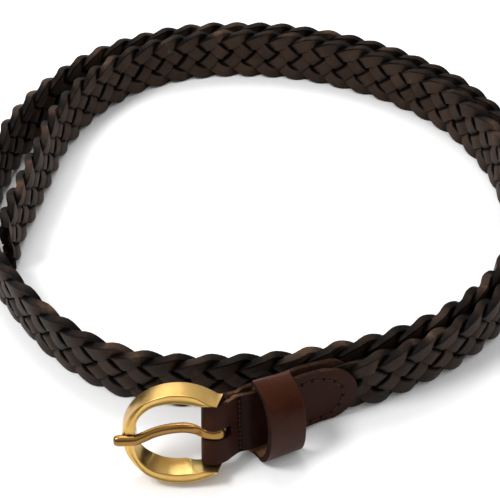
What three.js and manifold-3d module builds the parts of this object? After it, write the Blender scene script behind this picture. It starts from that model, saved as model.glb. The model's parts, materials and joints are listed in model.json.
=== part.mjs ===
// A narrow braided leather belt with a cast prong buckle.
// It stands on its long edge in a loose spiral of not quite two turns, the buckle at the front.
// Millimetres, +Z up. The middle of the footprint is the origin, and the belt rests on z = 0.
import * as THREE from 'three';
import { mergeVertices } from 'three/addons/utils/BufferGeometryUtils.js';
import Module from 'manifold-3d';

const wasm = await Module();
wasm.setup();

const degrees = THREE.MathUtils.degToRad;

// Braid: five flat laces, plaited two layers thick
const braidWidth = 20;
const braidThickness = 4.8;
const braidPitch = 9.2;
const scallopDepth = 1.5;
const laceRelief = 0.7;
const edgeThickness = 2.2;
const braidEndThickness = 1.2;
const braidEndWidth = 17.6;
const tailSqueeze = 0.75;

// Leather tab, folded round the buckle's bar
const tabBarWidth = 18.4;
const tabWidth = 19.4;
const tabLeather = 1.4;
const tabLength = 44.5;
const tabEndRound = 8;
const slotHeight = 3.3;
const slotReach = 4.9;
const foldRadius = 1.8;

// Keeper loop, its thinned back leg held between the two layers of the tab
const keeperStart = 12.6;
const keeperWidth = 12.1;
const keeperLeather = 1.8;
const keeperLeg = 1.2;
const keeperSkew = 2.2;

// Buckle: frame, bar and prong
const frameHeight = 28.8;
const frameDepth = 6;
const frameReach = 24.7;
const frameMiddle = 9.1;
const frameTip = 2.6;
const frameForward = 1.8;
const barRadius = 1.2;
const notchWidth = 3.4;
const notchDepth = 1.5;
const prongWidth = 2.5;
const prongThickness = 2.1;
const curlThickness = 1.2;

// Where the belt stands
const ringCentre = new THREE.Vector2(3, 20);
const barPlace = new THREE.Vector2(-10, -84);
const tabHeading = degrees(31.5);
const buckleLean = degrees(20);
const buckleLift = 4;
const leanLength = 60;
const dropLength = 2 * buckleLift / (Math.sin(tabHeading) * Math.tan(buckleLean));

// The spiral seen from above, from the tab to the free end: angle round the ring and radius.
// Rows a full turn apart lie one strap's thickness from each other wherever the two turns touch.
const spiralRows = [
  { turn: -75, radius: 88.8 },
  { turn: -60, radius: 89.3 },
  { turn: -45, radius: 91.2 },
  { turn: -30, radius: 92.2 },
  { turn: -10, radius: 91.9 },
  { turn: 10, radius: 91 },
  { turn: 30, radius: 89.1 },
  { turn: 50, radius: 86 },
  { turn: 70, radius: 84.5 },
  { turn: 90, radius: 85.4 },
  { turn: 105, radius: 87.4 },
  { turn: 120, radius: 89.8 },
  { turn: 135, radius: 91.2 },
  { turn: 150, radius: 91.1 },
  { turn: 170, radius: 91.4 },
  { turn: 190, radius: 92.4 },
  { turn: 205, radius: 91.3 },
  { turn: 220, radius: 90.2 },
  { turn: 235, radius: 90.3 },
  { turn: 247, radius: 88.9 },
  { turn: 258, radius: 85.4 },
  { turn: 270, radius: 83 },
  { turn: 285, radius: 82 },
  { turn: 300, radius: 83.4 },
  { turn: 315, radius: 85.5 },
  { turn: 330, radius: 86.8 },
  { turn: 350, radius: 86.5 },
  { turn: 370, radius: 85.7 },
  { turn: 390, radius: 83.8 },
  { turn: 410, radius: 80.7 },
  { turn: 430, radius: 79.2 },
  { turn: 450, radius: 80.1 },
  { turn: 470, radius: 82.5 },
  { turn: 485, radius: 83.6 },
  { turn: 500, radius: 81.8 },
  { turn: 515, radius: 79.2 },
  { turn: 530, radius: 76.8 },
  { turn: 542, radius: 78.5 },
  { turn: 552, radius: 82.8 },
  { turn: 560, radius: 86.2 },
];

// Smooth value between the rows of a table, with the slope at each row taken from its neighbours
function between(rows, key, value, at) {
  const last = rows.length - 1;
  const slopeAt = (i) => {
    const a = rows[Math.max(i - 1, 0)];
    const b = rows[Math.min(i + 1, last)];
    return (b[value] - a[value]) / (b[key] - a[key]);
  };
  let i = 0;
  while (i < last - 1 && at > rows[i + 1][key]) i += 1;
  const span = rows[i + 1][key] - rows[i][key];
  const t = THREE.MathUtils.clamp((at - rows[i][key]) / span, 0, 1);
  const rise = rows[i + 1][value] - rows[i][value];
  const bend0 = slopeAt(i) * span - rise;
  const bend1 = rise - slopeAt(i + 1) * span;
  return rows[i][value] + rise * t + t * (1 - t) * (bend0 * (1 - t) + bend1 * t);
}

class SpiralRun extends THREE.Curve {
  getPoint(t, target = new THREE.Vector3()) {
    const first = spiralRows[0].turn;
    const turn = first + (spiralRows[spiralRows.length - 1].turn - first) * t;
    const radius = between(spiralRows, 'turn', 'radius', turn);
    const angle = degrees(turn);
    const x = ringCentre.x + radius * Math.cos(angle);
    return target.set(x, ringCentre.y + radius * Math.sin(angle), 0);
  }
}

// The belt's centre line on the ground, from the buckle's bar to the free end
function makeRoute() {
  const spiral = new SpiralRun();
  spiral.arcLengthDivisions = 1600;
  const bar = new THREE.Vector3(barPlace.x, barPlace.y, 0);
  const start = spiral.getPoint(0);
  const out = new THREE.Vector3(Math.cos(tabHeading), Math.sin(tabHeading), 0);
  const arriving = spiral.getTangent(0);
  const tabHandle = 24;
  const spiralHandle = 9;
  const nearBar = bar.clone().addScaledVector(out, tabHandle);
  const nearSpiral = start.clone().addScaledVector(arriving, -spiralHandle);
  const tabRun = new THREE.CubicBezierCurve3(bar, nearBar, nearSpiral, start);
  const route = new THREE.CurvePath();
  route.add(tabRun);
  route.add(spiral);
  return route;
}

const route = makeRoute();
const routeLength = route.getLength();
const tangentStep = 0.5;

function routeAt(along) {
  const within = THREE.MathUtils.clamp(along, 0, routeLength);
  const point = route.getPoint(within / routeLength);
  const before = route.getPoint(Math.max(within - tangentStep, 0) / routeLength);
  const after = route.getPoint(Math.min(within + tangentStep, routeLength) / routeLength);
  const tangent = after.sub(before).normalize();
  point.addScaledVector(tangent, along - within);
  return { point, tangent };
}

// Near the buckle the belt leans back, because the frame is taller than the strap, and the tab
// leaves the leaning bar square to it, so that it drops to the ground as it goes.
function leanAt(along) {
  return buckleLean * (1 - THREE.MathUtils.smoothstep(along, 0, leanLength));
}

// From belt coordinates to the model: along the strap, outward from its middle, and up its face
function place(along, out, up) {
  const { point, tangent } = routeAt(along);
  const still = Math.max(1 - along / dropLength, 0);
  point.z = braidWidth / 2 + buckleLift * still ** 2;
  tangent.z = -2 * buckleLift / dropLength * still;
  tangent.normalize();
  const lean = leanAt(along);
  const leaning = new THREE.Vector3(0, Math.sin(lean), Math.cos(lean));
  const outward = new THREE.Vector3().crossVectors(tangent, leaning).normalize();
  const upward = new THREE.Vector3().crossVectors(outward, tangent);
  return point.addScaledVector(outward, out).addScaledVector(upward, up);
}

function mergedPositions(geometry) {
  geometry.deleteAttribute('normal');
  geometry.deleteAttribute('uv');
  return mergeVertices(geometry, 1e-4);
}

// A box whose corners and grid points are moved one by one into the belt's shape
function shapedBox(rows, columns, shape) {
  const box = mergedPositions(new THREE.BoxGeometry(1, 1, 1, rows, columns, 1));
  const position = box.attributes.position;
  for (let i = 0; i < position.count; i += 1) {
    const row = Math.round((position.getX(i) + 0.5) * rows);
    const column = Math.round((position.getY(i) + 0.5) * columns);
    const point = shape(row, column, Math.sign(position.getZ(i)));
    position.setXYZ(i, point.x, point.y, point.z);
  }
  return box;
}

function signedVolume(geometry) {
  const position = geometry.attributes.position;
  const index = geometry.index.array;
  const corners = [new THREE.Vector3(), new THREE.Vector3(), new THREE.Vector3()];
  let volume = 0;
  for (let i = 0; i < index.length; i += 3) {
    corners.forEach((corner, k) => corner.fromBufferAttribute(position, index[i + k]));
    volume += corners[0].dot(corners[1].cross(corners[2])) / 6;
  }
  return volume;
}

function facingOut(geometry) {
  if (signedVolume(geometry) < 0) geometry.index.array.reverse();
  return geometry;
}

function toSolid(geometry) {
  const merged = facingOut(mergedPositions(geometry));
  return new wasm.Manifold(new wasm.Mesh({
    numProp: 3,
    vertProperties: new Float32Array(merged.attributes.position.array),
    triVerts: new Uint32Array(merged.index.array),
  }));
}

function fromSolid(solid) {
  const mesh = solid.getMesh();
  const geometry = new THREE.BufferGeometry();
  geometry.setAttribute('position', new THREE.BufferAttribute(mesh.vertProperties, 3));
  geometry.setIndex(new THREE.BufferAttribute(mesh.triVerts, 1));
  return geometry;
}

function leather(color, roughness) {
  return new THREE.MeshStandardMaterial({ color, roughness, metalness: 0 });
}

function brass(color) {
  return new THREE.MeshStandardMaterial({ color, roughness: 0.32, metalness: 1 });
}

function named(name, geometry, material) {
  const mesh = new THREE.Mesh(geometry, material);
  mesh.name = name;
  return mesh;
}

// The braid is one band. Its edges are scalloped half a pitch apart, its lower scallops are pressed
// flat where they rest, and each face is highest where two laces cross.
const braidStart = keeperStart + keeperWidth + 2.6;
const braidStations = 4;
const braidColumns = 5;

function braidGrowth(along) {
  return THREE.MathUtils.smoothstep(along, tabLength - 3, tabLength + 5);
}

function braidTail(along) {
  const tailLength = 6;
  return THREE.MathUtils.smoothstep(routeLength - along, 0, tailLength);
}

function braidHalfWidth(along, quarter, isTop) {
  const grown = braidGrowth(along);
  const full = THREE.MathUtils.lerp(braidEndWidth, braidWidth, grown) / 2;
  const valley = isTop ? 0 : 2;
  const shoulder = isTop ? 0.15 : 0;
  const cut = quarter === valley ? 1 : (quarter % 2) * shoulder;
  return full - scallopDepth * cut * grown * braidTail(along);
}

function braidHalfThickness(along, quarter, column) {
  const grown = braidGrowth(along);
  const isEdge = column === 0 || column === braidColumns;
  const distance = Math.abs(quarter - (column % 2) * 2) % 4;
  const sunk = Math.min(distance, 4 - distance) / 2;
  const middle = braidThickness / 2 - laceRelief * sunk;
  const full = isEdge ? edgeThickness / 2 : middle;
  const endHalf = braidEndThickness / 2;
  const squeeze = THREE.MathUtils.lerp(tailSqueeze, 1, braidTail(along));
  return THREE.MathUtils.lerp(endHalf, full, grown) * squeeze;
}

function makeBraid() {
  const length = routeLength - braidStart;
  const pitches = Math.round(length / braidPitch);
  const stations = pitches * braidStations;
  const band = shapedBox(stations, braidColumns, (row, column, side) => {
    const along = braidStart + length * row / stations;
    const quarter = row % braidStations;
    const share = column / braidColumns * 2 - 1;
    const up = share * braidHalfWidth(along, quarter, share > 0);
    return place(along, side * braidHalfThickness(along, quarter, column), up);
  });
  return named('braided_strap', facingOut(band), leather(0x352b26, 0.5));
}

// Half the space between the tab's two layers: round the bar, pinched at the stitch line,
// open for the keeper's leg and the end of the braid
const layerRows = [
  { along: 0, gap: foldRadius },
  { along: 2.5, gap: 1.6 },
  { along: 5, gap: 0.7 },
  { along: 7.5, gap: 0.18 },
  { along: 10, gap: 0.9 },
  { along: 12, gap: keeperLeg / 2 + 0.45 },
  { along: 26, gap: keeperLeg / 2 + 0.45 },
  { along: 37, gap: braidEndThickness / 2 + 0.35 },
  { along: tabLength, gap: 1.6 },
];
const layerSteps = [0, 2, 4, 6, 8, 10, 12, 17, 22, 27, 32, 36, 39, 42, tabLength];
const tabShares = [-1, -0.72, 0, 0.72, 1];
const foldSteps = 10;

function tabHalf(along) {
  return THREE.MathUtils.lerp(tabBarWidth, tabWidth, THREE.MathUtils.smoothstep(along, 22, 30)) / 2;
}

// One step along the folded strip: which layer it is on, how far along, or the angle in the fold
function stripStep(row) {
  const last = layerSteps.length - 1;
  if (row < last) return { side: 1, along: layerSteps[last - row] };
  if (row > last + foldSteps) return { side: -1, along: layerSteps[row - last - foldSteps] };
  return { fold: Math.PI * (row - last) / foldSteps };
}

function makeTab() {
  const rows = 2 * (layerSteps.length - 1) + foldSteps;
  const strip = shapedBox(rows, tabShares.length - 1, (row, column, face) => {
    const step = stripStep(row);
    const share = tabShares[column];
    if (step.fold !== undefined) {
      const radius = foldRadius + tabLeather * (1 + face) / 2;
      const up = share * tabHalf(0);
      return place(-Math.sin(step.fold) * radius, Math.cos(step.fold) * radius, up);
    }
    const nearEnd = THREE.MathUtils.smoothstep(step.along, tabLength - 12, tabLength);
    const rounding = tabEndRound * (1 - Math.sqrt(1 - 0.98 * share * share)) * nearEnd;
    const gap = between(layerRows, 'along', 'gap', step.along);
    const out = step.side * (gap + tabLeather * (1 + face) / 2);
    return place(step.along - rounding, out, share * tabHalf(step.along));
  });
  const slot = shapedBox(1, 1, (row, column, face) => {
    const along = row ? slotReach : -slotReach;
    return place(along, face * slotReach, (column - 0.5) * slotHeight);
  });
  const cut = toSolid(strip).subtract(toSolid(slot));
  return named('tab', fromSolid(cut), leather(0x3a1f1c, 0.42));
}

// The keeper's middle line at its two edges, as distance out from the tab and height.
// The leg between the layers follows the tab; the loop bulges forward and rests on the ground.
const keeperRows = [
  { nearOut: 0.4, nearUp: 25.9, farOut: 0.4, farUp: 22.4 },
  { nearOut: 4.4, nearUp: 25.2, farOut: 4.4, farUp: 21.6 },
  { nearOut: 8.2, nearUp: 21.4, farOut: 8.3, farUp: 17.9 },
  { nearOut: 10.3, nearUp: 14.4, farOut: 10.4, farUp: 12 },
  { nearOut: 10, nearUp: 6.5, farOut: 10.7, farUp: 5.6 },
  { nearOut: 7.9, nearUp: 2.2, farOut: 9.2, farUp: 2.1 },
  { nearOut: 4.6, nearUp: 1.2, farOut: 5.4, farUp: 1.2 },
];
const legShares = [-0.56, -0.4, 0, 0.4, 0.56];
const keeperPoints = 30;

// The loop at one share of its width, as points whose x is out, y is up and z is along the tab
function keeperLine(share) {
  const along = keeperStart + share * keeperWidth;
  const { point, tangent } = routeAt(along);
  const outward = new THREE.Vector3(tangent.y, -tangent.x, 0);
  const points = legShares.map((legShare) => {
    const legAlong = along + keeperSkew * (legShare - 0.5);
    const leg = place(legAlong, 0, 2 * legShare * tabHalf(legAlong)).sub(point);
    return new THREE.Vector3(leg.dot(outward), leg.z, leg.dot(tangent));
  });
  for (const row of keeperRows) {
    const out = THREE.MathUtils.lerp(row.nearOut, row.farOut, share);
    const up = THREE.MathUtils.lerp(row.nearUp, row.farUp, share);
    points.push(new THREE.Vector3(out, up, keeperSkew * (up / keeperRows[0].nearUp - 1)));
  }
  const line = new THREE.CatmullRomCurve3(points, true, 'centripetal');
  return { origin: point, outward, tangent, line };
}

// Half the loop's thickness at one share of the way round, thin in the leg
function keeperHalf(t) {
  const points = legShares.length + keeperRows.length;
  const legEnd = legShares.length - 1;
  const past = Math.max(Math.min(t * points - legEnd, points - t * points), 0);
  return THREE.MathUtils.lerp(keeperLeg, keeperLeather, THREE.MathUtils.smoothstep(past, 0, 1.6)) / 2;
}

function makeKeeper() {
  const lines = [0, 0.5, 1].map(keeperLine);
  const ring = new THREE.CylinderGeometry(1, 1, lines.length - 1, keeperPoints, 2, true);
  ring.translate(0, (lines.length - 1) / 2, 0);
  const wall = mergedPositions(ring);
  const count = wall.attributes.position.count;
  const faces = [1, -1].map((side) => {
    const shaped = wall.clone();
    for (let i = 0; i < count; i += 1) {
      const source = new THREE.Vector3().fromBufferAttribute(wall.attributes.position, i);
      const t = (Math.atan2(source.x, source.z) / (2 * Math.PI) + 1) % 1;
      const { origin, outward, tangent, line } = lines[Math.round(source.y)];
      const middle = line.getPoint(t);
      const onward = line.getTangent(t).setZ(0).normalize();
      const offset = side * keeperHalf(t);
      const at = origin.clone();
      at.addScaledVector(outward, middle.x + onward.y * offset);
      at.addScaledVector(tangent, middle.z);
      at.z = middle.y - onward.x * offset;
      shaped.attributes.position.setXYZ(i, at.x, at.y, at.z);
    }
    return shaped;
  });
  return named('keeper_loop', closedBetween(...faces), leather(0x5a3026, 0.35));
}

// Joins two like-numbered open walls into one closed band
function closedBetween(outer, inner) {
  const count = outer.attributes.position.count;
  const positions = [...outer.attributes.position.array, ...inner.attributes.position.array];
  const outerIndex = [...outer.index.array];
  const index = [...outerIndex];
  for (let i = 0; i < outerIndex.length; i += 3) {
    const [a, b, c] = outerIndex.slice(i, i + 3);
    index.push(count + a, count + c, count + b);
  }
  const uses = new Map();
  for (let i = 0; i < outerIndex.length; i += 3) {
    for (let k = 0; k < 3; k += 1) {
      const a = outerIndex[i + k];
      const b = outerIndex[i + (k + 1) % 3];
      uses.set(`${a},${b}`, [a, b]);
    }
  }
  for (const [a, b] of uses.values()) {
    if (uses.has(`${b},${a}`)) continue;
    index.push(b, a, count + a, b, count + a, count + b);
  }
  const geometry = new THREE.BufferGeometry();
  geometry.setAttribute('position', new THREE.Float32BufferAttribute(positions, 3));
  geometry.setIndex(index);
  return facingOut(geometry);
}

// Inner edge of the frame's upper half, from the far end of the loop back to the arm's tip
const frameInnerRows = [
  { reach: 20.9, up: 0 },
  { reach: 20.6, up: 3.8 },
  { reach: 19.3, up: 7 },
  { reach: 16.4, up: 9.7 },
  { reach: 12.9, up: 10.9 },
  { reach: 8.6, up: 11.2 },
  { reach: 5.2, up: 10.8 },
  { reach: 2.6, up: 10.3 },
  { reach: -frameTip, up: 10.1 },
];

// In the buckle's own axes the bar lies along Y at the origin, the loop reaches towards -X
// and its front faces +Z.
function makeFrame() {
  const half = frameHeight / 2;
  const reachHalf = frameReach - frameMiddle;
  const endCosine = -(frameMiddle + 1.5) / reachHalf;
  const endAngle = Math.acos(endCosine);
  const outline = new THREE.Shape();
  const tip = new THREE.Vector2(frameTip, 10.6);
  outline.moveTo(tip.x, -tip.y);
  const arc = new THREE.EllipseCurve(
    -frameMiddle, 0, reachHalf, half, Math.PI + endAngle, Math.PI - endAngle, true);
  for (const point of arc.getPoints(32)) outline.lineTo(point.x, point.y);
  outline.lineTo(tip.x, tip.y);
  const upper = frameInnerRows.map((row) => new THREE.Vector2(-row.reach, row.up));
  const lower = upper.slice(1).map((point) => new THREE.Vector2(point.x, -point.y));
  const inner = new THREE.SplineCurve([...upper.slice().reverse(), ...lower]);
  for (const point of inner.getPoints(34)) outline.lineTo(point.x, point.y);
  const loop = new THREE.ExtrudeGeometry(outline, { depth: frameDepth, bevelEnabled: false });
  loop.translate(0, 0, frameForward - frameDepth / 2);
  const bar = new THREE.CylinderGeometry(barRadius, barRadius, 2 * tip.y + 0.6, 16);
  const front = frameForward + frameDepth / 2;
  const notch = new THREE.BoxGeometry(frameReach - 14, notchWidth, 2 * notchDepth);
  notch.translate(-frameReach, 0, front);
  const whole = toSolid(loop).add(toSolid(bar)).subtract(toSolid(notch));
  const cutSlope = 0.25;
  const solid = whole.trimByPlane([-1, 0, -cutSlope], -(frameTip - 1.4) - cutSlope * front);
  return named('buckle_frame', fromSolid(solid), brass(0xc79a4b));
}

// The prong's middle line, from the open end of its curl, round the bar, to the tip
const prongRows = [
  { reach: -2.2, front: -1.5 },
  { reach: -3, front: 0 },
  { reach: -2, front: 1.6 },
  { reach: 0, front: 2.15 },
  { reach: 1.7, front: 1.6 },
  { reach: 2.9, front: 0 },
  { reach: 4.6, front: -1.1 },
  { reach: 8, front: -1.4 },
  { reach: 12.6, front: -0.5 },
  { reach: 16.2, front: 1.2 },
  { reach: 18.6, front: 3.3 },
  { reach: 20.6, front: 4.7 },
  { reach: 23, front: 4.75 },
  { reach: 26.5, front: 4.7 },
];

function makeProng() {
  const points = prongRows.map((row) => new THREE.Vector2(-row.reach, row.front));
  const line = new THREE.SplineCurve(points);
  const steps = 40;
  const curlShare = 5 / (prongRows.length - 1);
  const sides = [[], []];
  for (let i = 0; i <= steps; i += 1) {
    const t = i / steps;
    const at = line.getPoint(t);
    const tangent = line.getTangent(t);
    const grown = THREE.MathUtils.smoothstep(t, curlShare, curlShare + 0.15);
    const half = THREE.MathUtils.lerp(curlThickness, prongThickness, grown) / 2;
    sides[0].push(new THREE.Vector2(at.x - tangent.y * half, at.y + tangent.x * half));
    sides[1].push(new THREE.Vector2(at.x + tangent.y * half, at.y - tangent.x * half));
  }
  const outline = new THREE.Shape([...sides[0], ...sides[1].reverse()]);
  const rod = new THREE.ExtrudeGeometry(outline, { depth: prongWidth, bevelEnabled: false });
  rod.translate(0, 0, -prongWidth / 2);
  rod.rotateX(Math.PI / 2);
  return named('prong', facingOut(mergedPositions(rod)), brass(0xc08f3f));
}

function buildBelt() {
  const belt = new THREE.Group();
  belt.add(makeBraid(), makeTab(), makeKeeper());
  const buckle = new THREE.Group();
  buckle.position.copy(place(0, 0, 0));
  buckle.rotation.x = Math.PI / 2 - buckleLean;
  buckle.add(makeFrame(), makeProng());
  belt.add(buckle);
  belt.updateMatrixWorld(true);
  const box = new THREE.Box3().setFromObject(belt, true);
  const middle = box.getCenter(new THREE.Vector3());
  belt.position.set(-middle.x, -middle.y, -box.min.z);
  belt.updateMatrixWorld(true);
  return belt;
}

const belt = buildBelt();

export default belt;
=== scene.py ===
import bisect
import json
import math
import random
import bmesh
import bpy
from mathutils import Matrix, Vector, noise


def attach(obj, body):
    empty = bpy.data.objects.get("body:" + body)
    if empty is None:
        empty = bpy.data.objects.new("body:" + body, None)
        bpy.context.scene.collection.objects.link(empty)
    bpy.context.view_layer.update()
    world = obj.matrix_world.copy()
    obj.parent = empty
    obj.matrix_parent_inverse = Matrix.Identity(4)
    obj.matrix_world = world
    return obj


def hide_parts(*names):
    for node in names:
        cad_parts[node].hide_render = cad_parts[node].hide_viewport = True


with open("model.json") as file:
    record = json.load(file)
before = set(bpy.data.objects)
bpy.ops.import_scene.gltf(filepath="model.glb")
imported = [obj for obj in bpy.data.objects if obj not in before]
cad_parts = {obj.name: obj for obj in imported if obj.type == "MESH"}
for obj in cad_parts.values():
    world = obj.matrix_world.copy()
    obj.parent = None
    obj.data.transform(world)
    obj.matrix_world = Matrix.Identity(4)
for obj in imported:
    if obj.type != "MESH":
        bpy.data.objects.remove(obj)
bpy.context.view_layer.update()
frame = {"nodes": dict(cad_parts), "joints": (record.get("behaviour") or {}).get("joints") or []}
print("frame loaded:", sorted(frame["nodes"]))

mm = 0.001

# how the belt stands, the same numbers as the solids are made from, in millimetres and degrees
belt = {
    "ringCentre": (3, 20),
    "bar": (-10, -84, 14),
    "tabHeading": 31.5,
    "tabHandle": 24,
    "spiralHandle": 9,
    "lean": 20,
    "leanLength": 60,
    "lift": 4,
    "width": 20,
    "pitch": 9.2,
    # angle round the ring and radius, from the tab to the free end
    "spiral": [
        (-75, 88.8), (-60, 89.3), (-45, 91.2), (-30, 92.2), (-10, 91.9), (10, 91), (30, 89.1), (50, 86),
        (70, 84.5), (90, 85.4), (105, 87.4), (120, 89.8), (135, 91.2), (150, 91.1), (170, 91.4),
        (190, 92.4), (205, 91.3), (220, 90.2), (235, 90.3), (247, 88.9), (258, 85.4), (270, 83),
        (285, 82), (300, 83.4), (315, 85.5), (330, 86.8), (350, 86.5), (370, 85.7), (390, 83.8),
        (410, 80.7), (430, 79.2), (450, 80.1), (470, 82.5), (485, 83.6), (500, 81.8), (515, 79.2),
        (530, 76.8), (542, 78.5), (552, 82.8), (560, 86.2),
    ],
}
# points along the centre line, and how far apart and how far past its ends its directions are kept
centreLine = {
    "leadPoints": 400,
    "spiralPoints": 6000,
    "step": 0.5,
    "past": 10,
}
# the tab and the keeper, which the plait has to fit as well
tab = {
    "barWidth": 18.4,
    "width": 19.4,
    "widens": (22, 30),
    "leather": 1.4,
    "thinLeather": 0.8,
    "thinLength": 7,
    "length": 44.5,
    "endRound": 8,
    "roundLength": 12,
    "foldRadius": 1.8,
    "slotHeight": 3.3,
    "slotReach": 4.3,
    "rimBevel": 0.2,
    # distance from the bar and half the space between the two layers
    "layers": [(0, 1.8), (2.5, 1.6), (5, 0.7), (7.5, 0.18), (10, 0.9), (12, 1.05), (26, 1.05), (37, 0.95),
               (44.5, 1.6)],
    # the share of half its height, and the length at its end, where it is rubbed
    "rubbed": 0.95,
    "rubbedEnd": 0.6,
    # how raw its upper side is: this much more near the bar, and this everywhere
    "raw": (0.45, 0.04),
    "rawUntil": (5, 12),
    "rawShares": (0.5, 1),
    # painted shade from the pinch to the keeper, standing in for the shadow of the keeper and the plait
    "dark": 0.5,
    "shadeFrom": (6.4, 8.2),
    "shadeUntil": (14, 19),
}
keeper = {
    "start": 12.6,
    "width": 12.1,
    "leather": 1.8,
    "leg": 1.2,
    "skew": 2.2,
    "rimBevel": 0.28,
    # middle of the leather at its edge near the buckle and at its far edge: distance out from the tab, height
    "rows": [
        (0.4, 25.9, 0.4, 22.4), (4.4, 25.2, 4.4, 21.6), (8.2, 21.4, 8.3, 17.9), (10.3, 14.4, 10.4, 12),
        (10, 6.5, 10.7, 5.6), (7.9, 2.2, 9.2, 2.1), (4.6, 1.2, 5.4, 1.2),
    ],
    # the leg between the tab's two layers, as shares of the tab's height, and how soon it thickens past them
    "legShares": [-0.56, -0.4, 0, 0.4, 0.56],
    "legEnds": 1.6,
    "rubbed": 0.9,
    "raw": 0.8,
    "around": 110,
    "across": 18,
}


def clamp(value, low, high):
    return max(low, min(high, value))


def mix(a, b, t):
    return a + (b - a) * t


def smooth(value, low, high):
    t = clamp((value - low) / (high - low), 0, 1)
    return t * t * (3 - 2 * t)


# smooth value between the rows of a two-column table
def between(rows, at):
    last = len(rows) - 1
    i = 0
    while i < last - 1 and at > rows[i + 1][0]:
        i += 1

    def slope(j):
        a, b = rows[max(j - 1, 0)], rows[min(j + 1, last)]
        return (b[1] - a[1]) / (b[0] - a[0])

    span = rows[i + 1][0] - rows[i][0]
    t = clamp((at - rows[i][0]) / span, 0, 1)
    rise = rows[i + 1][1] - rows[i][1]
    bendIn = slope(i) * span - rise
    bendOut = rise - slope(i + 1) * span
    return rows[i][1] + rise * t + t * (1 - t) * (bendIn * (1 - t) + bendOut * t)


def spiralPoint(turn):
    radius = between(belt["spiral"], turn)
    angle = math.radians(turn)
    cx, cy = belt["ringCentre"]
    return Vector((cx + radius * math.cos(angle), cy + radius * math.sin(angle), 0))


# the belt's centre line on the ground, from the bar to the free end
def makeRoute():
    first, last = belt["spiral"][0][0], belt["spiral"][-1][0]
    count = centreLine["spiralPoints"]
    spiral = [spiralPoint(first + (last - first) * i / count) for i in range(count + 1)]
    bar = Vector((belt["bar"][0], belt["bar"][1], 0))
    heading = math.radians(belt["tabHeading"])
    arriving = (spiral[1] - spiral[0]).normalized()
    a = bar + Vector((math.cos(heading), math.sin(heading), 0)) * belt["tabHandle"]
    b = spiral[0] - arriving * belt["spiralHandle"]
    points = []
    for i in range(centreLine["leadPoints"]):
        t = i / centreLine["leadPoints"]
        u = 1 - t
        points.append(bar * u ** 3 + a * 3 * u * u * t + b * 3 * u * t * t + spiral[0] * t ** 3)
    points += spiral
    lengths = [0.0]
    for i in range(1, len(points)):
        lengths.append(lengths[-1] + (points[i] - points[i - 1]).length)
    return points, lengths


routePoints, routeLengths = makeRoute()
routeLength = routeLengths[-1]
barNow = Vector(next(j for j in frame["joints"] if j["name"] == "buckle_swing")["pos_m"]) / mm
routeShift = barNow - Vector(belt["bar"])
print("belt length from the bar, mm:", round(routeLength, 1))


def onRoute(along):
    i = clamp(bisect.bisect_right(routeLengths, along) - 1, 0, len(routePoints) - 2)
    span = routeLengths[i + 1] - routeLengths[i]
    return routePoints[i].lerp(routePoints[i + 1], (along - routeLengths[i]) / span)


# the buckle's end is lifted and comes down to the floor over this length
dropLength = 2 * belt["lift"] / (
    math.sin(math.radians(belt["tabHeading"])) * math.tan(math.radians(belt["lean"])))


# the strap's middle at one distance from the bar, and its directions out and up
def stance(along):
    step = centreLine["step"]
    within = clamp(along, 0, routeLength)
    point = onRoute(within)
    tangent = (onRoute(min(within + step, routeLength)) - onRoute(max(within - step, 0))).normalized()
    point = point + tangent * (along - within)
    still = max(1 - along / dropLength, 0)
    point.z = belt["width"] / 2 + belt["lift"] * still ** 2
    tangent.z = -2 * belt["lift"] / dropLength * still
    tangent.normalize()
    lean = math.radians(belt["lean"]) * (1 - smooth(along, 0, belt["leanLength"]))
    outward = tangent.cross(Vector((0, math.sin(lean), math.cos(lean)))).normalized()
    return point + routeShift, outward, outward.cross(tangent)


stanceCount = int((routeLength + 2 * centreLine["past"]) / centreLine["step"]) + 2
stances = [stance(i * centreLine["step"] - centreLine["past"]) for i in range(stanceCount)]


# from belt coordinates in millimetres to the model in metres
def place(along, out, up):
    at = (along + centreLine["past"]) / centreLine["step"]
    i = clamp(int(at), 0, len(stances) - 2)
    point, outward, upward = (a.lerp(b, at - i) for a, b in zip(stances[i], stances[i + 1]))
    return (point + outward * out + upward * up) * mm


# nodes, and the shader groups that several materials use

def addNode(tree, kind, settings=None, inputs=None):
    node = tree.nodes.new(kind)
    for key, value in (settings or {}).items():
        setattr(node, key, value)
    for key, value in (inputs or {}).items():
        if isinstance(value, bpy.types.NodeSocket):
            tree.links.new(value, node.inputs[key])
        else:
            node.inputs[key].default_value = value
    return node


def addNoise(tree, vector, scale, **more):
    return addNode(tree, "ShaderNodeTexNoise", None, {"Vector": vector, "Scale": scale, **more}).outputs[0]


def maths(tree, operation, a, b=0.0, clamped=False):
    settings = {"operation": operation, "use_clamp": clamped}
    return addNode(tree, "ShaderNodeMath", settings, {0: a, 1: b}).outputs[0]


def spread(tree, value, low, high, newLow=0.0, newHigh=1.0):
    inputs = {0: value, 1: low, 2: high, 3: newLow, 4: newHigh}
    return addNode(tree, "ShaderNodeMapRange", None, inputs).outputs[0]


def blendColours(tree, mask, a, b):
    a, b = ((*colour, 1) if isinstance(colour, tuple) else colour for colour in (a, b))
    return addNode(tree, "ShaderNodeMix", {"data_type": "RGBA"}, {0: mask, 6: a, 7: b}).outputs[2]


def newGroup(name, inputs, outputs):
    tree = bpy.data.node_groups.new(name, "ShaderNodeTree")
    for label, kind, value in inputs:
        socket = tree.interface.new_socket(name=label, in_out="INPUT", socket_type=kind)
        if value is not None:
            socket.default_value = value
    for label in outputs:
        tree.interface.new_socket(name=label, in_out="OUTPUT", socket_type="NodeSocketFloat")
    return tree, tree.nodes.new("NodeGroupInput").outputs, tree.nodes.new("NodeGroupOutput").inputs


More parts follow.
